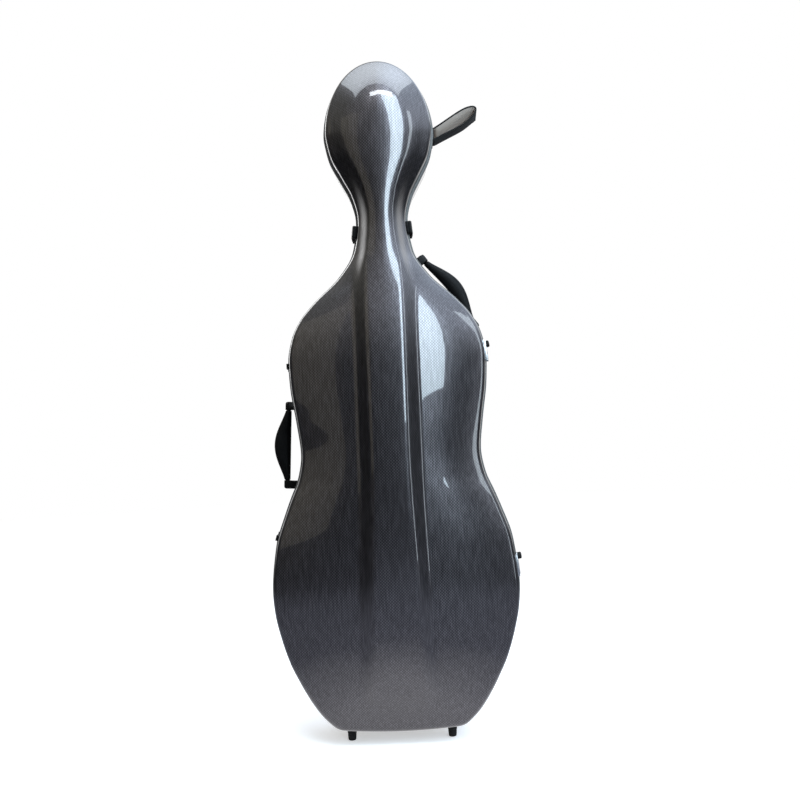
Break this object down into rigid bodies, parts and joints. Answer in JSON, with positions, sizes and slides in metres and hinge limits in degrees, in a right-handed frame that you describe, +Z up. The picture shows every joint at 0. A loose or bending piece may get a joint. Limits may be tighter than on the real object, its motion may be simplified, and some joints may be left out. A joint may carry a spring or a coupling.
{
  "type": "cello hard case",
  "caption": "Moulded hard case for a cello: hinged lid with a raised spine, woven silver finish, side and shoulder handles, latches, feet and a padded inside.",
  "frame": {"origin": "on the floor, under the middle of the whole case with its handles and feet", "axes": "+Z up along the case, -Y towards the lid, +X towards the hinges and the side feet"},
  "size_m": [0.5076, 0.2946, 1.354],
  "materials": {
    "shell": "fine silver-grey woven sheet under a clear gloss coat",
    "black_plastic": "fine-grained black moulded plastic",
    "rubber": "matt black rubber",
    "steel": "satin steel",
    "plush": "dark grey short plush over foam",
    "webbing": "black woven webbing and cloth"
  },
  "bodies": {
    "case": {"base_shell": "shell", "rim_seal": "rubber", "base_lining": "plush", "hinge_upper_base_leaf": "steel", "hinge_upper_pin": "steel", "hinge_lower_base_leaf": "steel", "hinge_lower_pin": "steel", "bottom_foot_front_left": "rubber", "bottom_foot_front_right": "rubber", "bottom_foot_back_left": "rubber", "bottom_foot_back_right": "rubber", "side_foot_upper": "rubber", "side_foot_lower": "rubber", "side_handle_upper_bracket": "black_plastic", "side_handle_lower_bracket": "black_plastic", "shoulder_handle_upper_bracket": "black_plastic", "shoulder_handle_lower_bracket": "black_plastic", "latch_neck_left_plate": "black_plastic", "latch_neck_right_plate": "black_plastic", "latch_upper_plate": "black_plastic", "latch_lower_plate": "black_plastic", "head_loop_plate": "black_plastic", "head_loop": "webbing", "strap_ring_top_plate": "black_plastic", "strap_ring_left_plate": "black_plastic", "strap_ring_right_plate": "black_plastic", "endpin_block": "plush", "neck_cradle": "plush", "neck_strap": "webbing", "lower_pad_left": "plush", "lower_pad_right": "plush", "upper_pad_left": "plush", "upper_pad_right": "plush", "accessory_pouch": "webbing"},
    "lid": {"lid_shell": "shell", "lid_lining": "plush", "hinge_upper_lid_leaf": "steel", "hinge_lower_lid_leaf": "steel", "latch_neck_left_keeper": "black_plastic", "latch_neck_right_keeper": "black_plastic", "latch_upper_keeper": "black_plastic", "latch_lower_keeper": "black_plastic", "bow_pocket_left": "webbing", "bow_clip_base_left": "black_plastic", "bow_pocket_right": "webbing", "bow_clip_base_right": "black_plastic"},
    "latch_neck_left_lever_body": {"latch_neck_left_lever": "black_plastic"},
    "latch_neck_right_lever_body": {"latch_neck_right_lever": "black_plastic"},
    "latch_upper_lever_body": {"latch_upper_lever": "black_plastic"},
    "latch_lower_lever_body": {"latch_lower_lever": "black_plastic"},
    "side_handle_grip_body": {"side_handle_grip": "black_plastic"},
    "shoulder_handle_grip_body": {"shoulder_handle_grip": "black_plastic"},
    "strap_ring_top_body": {"strap_ring_top": "steel"},
    "strap_ring_left_body": {"strap_ring_left": "steel"},
    "strap_ring_right_body": {"strap_ring_right": "steel"},
    "bow_clip_left_body": {"bow_clip_left": "black_plastic"},
    "bow_clip_right_body": {"bow_clip_right": "black_plastic"}
  },
  "joints": [
    {"name": "lid_hinge", "type": "hinge", "parent": "case", "child": "lid", "pos_m": [0.23679, -0.0273, 0.34641], "axis": [-0.1086, 0, 0.9941], "range_deg": [0, 105]},
    {"name": "latch_neck_left_turn", "type": "hinge", "parent": "case", "child": "latch_neck_left_lever_body", "pos_m": [-0.06417, -0.0049, 1.01848], "axis": [-0.1183, 0, -0.993], "range_deg": [0, 120]},
    {"name": "latch_neck_right_turn", "type": "hinge", "parent": "case", "child": "latch_neck_right_lever_body", "pos_m": [0.04891, -0.0049, 1.02436], "axis": [-0.0888, 0, 0.996], "range_deg": [0, 120]},
    {"name": "latch_upper_turn", "type": "hinge", "parent": "case", "child": "latch_upper_lever_body", "pos_m": [-0.20687, -0.0049, 0.75698], "axis": [0.0155, 0, -0.9999], "range_deg": [0, 120]},
    {"name": "latch_lower_turn", "type": "hinge", "parent": "case", "child": "latch_lower_lever_body", "pos_m": [-0.24139, -0.0049, 0.41745], "axis": [-0.2798, 0, -0.96], "range_deg": [0, 120]},
    {"name": "side_handle_swing", "type": "hinge", "parent": "case", "child": "side_handle_grip_body", "pos_m": [-0.21916, 0.0327, 0.60057], "axis": [0.0565, 0, 0.9984], "range_deg": [-60, 60]},
    {"name": "shoulder_handle_swing", "type": "hinge", "parent": "case", "child": "shoulder_handle_grip_body", "pos_m": [0.12391, 0.0327, 0.90403], "axis": [-0.5916, 0, 0.8062], "range_deg": [-60, 60]},
    {"name": "strap_ring_top_swing", "type": "hinge", "parent": "case", "child": "strap_ring_top_body", "pos_m": [-0.00732, 0.07829, 1.007], "axis": [1, 0, 0], "range_deg": [0, 150]},
    {"name": "strap_ring_left_swing", "type": "hinge", "parent": "case", "child": "strap_ring_left_body", "pos_m": [-0.11932, 0.14299, 0.322], "axis": [1, 0, 0], "range_deg": [0, 150]},
    {"name": "strap_ring_right_swing", "type": "hinge", "parent": "case", "child": "strap_ring_right_body", "pos_m": [0.10468, 0.14299, 0.322], "axis": [1, 0, 0], "range_deg": [0, 150]},
    {"name": "bow_clip_left_turn", "type": "hinge", "parent": "lid", "child": "bow_clip_left_body", "pos_m": [-0.08132, -0.08357, 0.822], "axis": [0, 1, 0], "range_deg": [-90, 90]},
    {"name": "bow_clip_right_turn", "type": "hinge", "parent": "lid", "child": "bow_clip_right_body", "pos_m": [0.06668, -0.08357, 0.822], "axis": [0, 1, 0], "range_deg": [-90, 90]}
  ]
}
